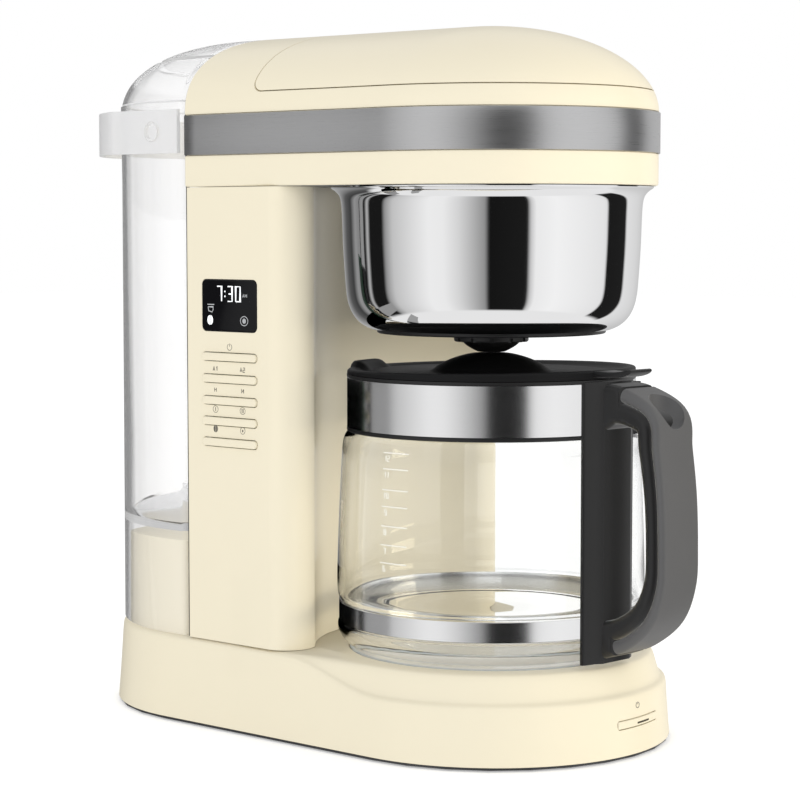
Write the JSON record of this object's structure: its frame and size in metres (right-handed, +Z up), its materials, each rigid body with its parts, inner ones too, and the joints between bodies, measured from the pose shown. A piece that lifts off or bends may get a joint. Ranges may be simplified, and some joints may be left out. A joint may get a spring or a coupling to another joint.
{
  "type": "drip coffee maker",
  "caption": "Drip coffee maker with a rounded hinged head, chrome filter bowl, clear rear water tank with carrying handle, side control panel and glass carafe.",
  "frame": {"origin": "bottom centre of the machine's box, on the surface it stands on", "axes": "+X towards the nose of the machine, +Y away from the control panel, +Z up"},
  "size_m": [0.3621, 0.1812, 0.352],
  "materials": {
    "cream_plastic": "glossy moulded plastic",
    "dark_plastic": "matt moulded plastic",
    "black_plastic": "satin moulded plastic",
    "grip_plastic": "fine matt grip",
    "rubber": "matt",
    "steel": "bare metal",
    "enamel": "non-stick coating",
    "silicone": "soft satin",
    "display_glass": "gloss black window",
    "circuit_board": "solder mask",
    "brushed_steel": "brushed round the piece",
    "chrome": "mirror polished",
    "clear_plastic": "clear moulded plastic",
    "frosted_plastic": "translucent white",
    "glass": "clear glass"
  },
  "bodies": {
    "housing": {"base_shell": "cream_plastic", "bottom_cover": "dark_plastic", "foot_1": "rubber", "foot_2": "rubber", "foot_3": "rubber", "foot_4": "rubber", "bottom_screw_1": "steel", "bottom_screw_2": "steel", "bottom_screw_3": "steel", "bottom_screw_4": "steel", "cord_gland": "black_plastic", "hotplate": "enamel", "hotplate_seal": "silicone", "heating_element": "steel", "thermostat": "dark_plastic", "tower_shell": "cream_plastic", "display_lens": "display_glass", "display_module": "dark_plastic", "control_board": "circuit_board", "supply_hose": "silicone", "check_valve": "dark_plastic", "riser_hose": "silicone", "outlet_spout": "dark_plastic", "head_shell": "cream_plastic", "metal_strap": "brushed_steel", "head_floor": "dark_plastic", "filter_bowl": "chrome", "bowl_base": "black_plastic", "valve_ring": "dark_plastic", "brew_basket": "black_plastic", "drip_stop_spring": "steel", "tank_dock": "cream_plastic", "dock_seal": "silicone"},
    "brew_lid": {"brew_lid": "cream_plastic", "lid_liner": "dark_plastic", "showerhead": "dark_plastic"},
    "tank": {"tank_body": "clear_plastic", "tank_valve": "frosted_plastic", "tank_shoulder": "clear_plastic", "pivot_stud_left": "frosted_plastic", "pivot_stud_right": "frosted_plastic"},
    "tank_lid": {"tank_lid": "clear_plastic"},
    "tank_handle": {"tank_handle": "frosted_plastic"},
    "carafe": {"glass_jug": "glass", "carafe_collar": "black_plastic", "collar_band": "brushed_steel", "lower_band": "brushed_steel", "carafe_handle": "black_plastic", "grip_cover": "grip_plastic"},
    "carafe_lid": {"carafe_lid": "black_plastic", "thumb_lever": "black_plastic"},
    "drip_stop": {"drip_stop_valve": "black_plastic"},
    "start_button": {"start_button": "cream_plastic"},
    "power_bar": {"power_bar": "cream_plastic"},
    "selector_bar_1": {"selector_bar_1": "cream_plastic"},
    "selector_bar_2": {"selector_bar_2": "cream_plastic"},
    "selector_bar_3": {"selector_bar_3": "cream_plastic"},
    "selector_bar_4": {"selector_bar_4": "cream_plastic"}
  },
  "joints": [
    {"name": "brew_lid_hinge", "type": "hinge", "parent": "housing", "child": "brew_lid", "pos_m": [-0.02325, 0, 0.3522], "axis": [0, -1, 0], "range_deg": [0, 80]},
    {"name": "tank_lift", "type": "slide", "parent": "housing", "child": "tank", "axis": [0, 0, 1], "range_m": [0, 0.12]},
    {"name": "tank_lid_hinge", "type": "hinge", "parent": "tank", "child": "tank_lid", "pos_m": [-0.06905, 0, 0.3522], "axis": [0, 1, 0], "range_deg": [0, 70]},
    {"name": "tank_handle_swing", "type": "hinge", "parent": "tank", "child": "tank_handle", "pos_m": [-0.08925, 0, 0.302], "axis": [0, 1, 0], "range_deg": [0, 115]},
    {"name": "carafe_slide", "type": "slide", "parent": "housing", "child": "carafe", "axis": [1, 0, 0], "range_m": [0, 0.2]},
    {"name": "carafe_lid_hinge", "type": "hinge", "parent": "carafe", "child": "carafe_lid", "pos_m": [0.13415, -0.00385, 0.1825], "axis": [0.0523, 0.9986, 0], "range_deg": [0, 3]},
    {"name": "drip_stop_lift", "type": "slide", "parent": "housing", "child": "drip_stop", "axis": [0, 0, 1], "range_m": [0, 0.005], "deforming": ["drip_stop_spring"]},
    {"name": "start_press", "type": "slide", "parent": "housing", "child": "start_button", "axis": [-0.9979, -0.0645, 0], "range_m": [0, 0.001], "stiffness_N_per_m": 800, "springref_m": -0.0005},
    {"name": "power_press", "type": "slide", "parent": "housing", "child": "power_bar", "axis": [0, 1, 0], "range_m": [0, 0.0008], "stiffness_N_per_m": 800, "springref_m": -0.0005},
    {"name": "selector_rock_1", "type": "hinge", "parent": "housing", "child": "selector_bar_1", "pos_m": [-0.03785, -0.0845, 0.178], "axis": [0, 0, 1], "range_deg": [-2, 2], "stiffness_Nm_per_rad": 0.4},
    {"name": "selector_rock_2", "type": "hinge", "parent": "housing", "child": "selector_bar_2", "pos_m": [-0.03785, -0.0845, 0.167], "axis": [0, 0, 1], "range_deg": [-2, 2], "stiffness_Nm_per_rad": 0.4},
    {"name": "selector_rock_3", "type": "hinge", "parent": "housing", "child": "selector_bar_3", "pos_m": [-0.03785, -0.0845, 0.1566], "axis": [0, 0, 1], "range_deg": [-2, 2], "stiffness_Nm_per_rad": 0.4},
    {"name": "selector_rock_4", "type": "hinge", "parent": "housing", "child": "selector_bar_4", "pos_m": [-0.03785, -0.0845, 0.146], "axis": [0, 0, 1], "range_deg": [-2, 2], "stiffness_Nm_per_rad": 0.4}
  ],
  "couplings": [
    {"joint": "drip_stop_lift", "follows": "carafe_lid_hinge", "m_per_rad": 0.083}
  ]
}
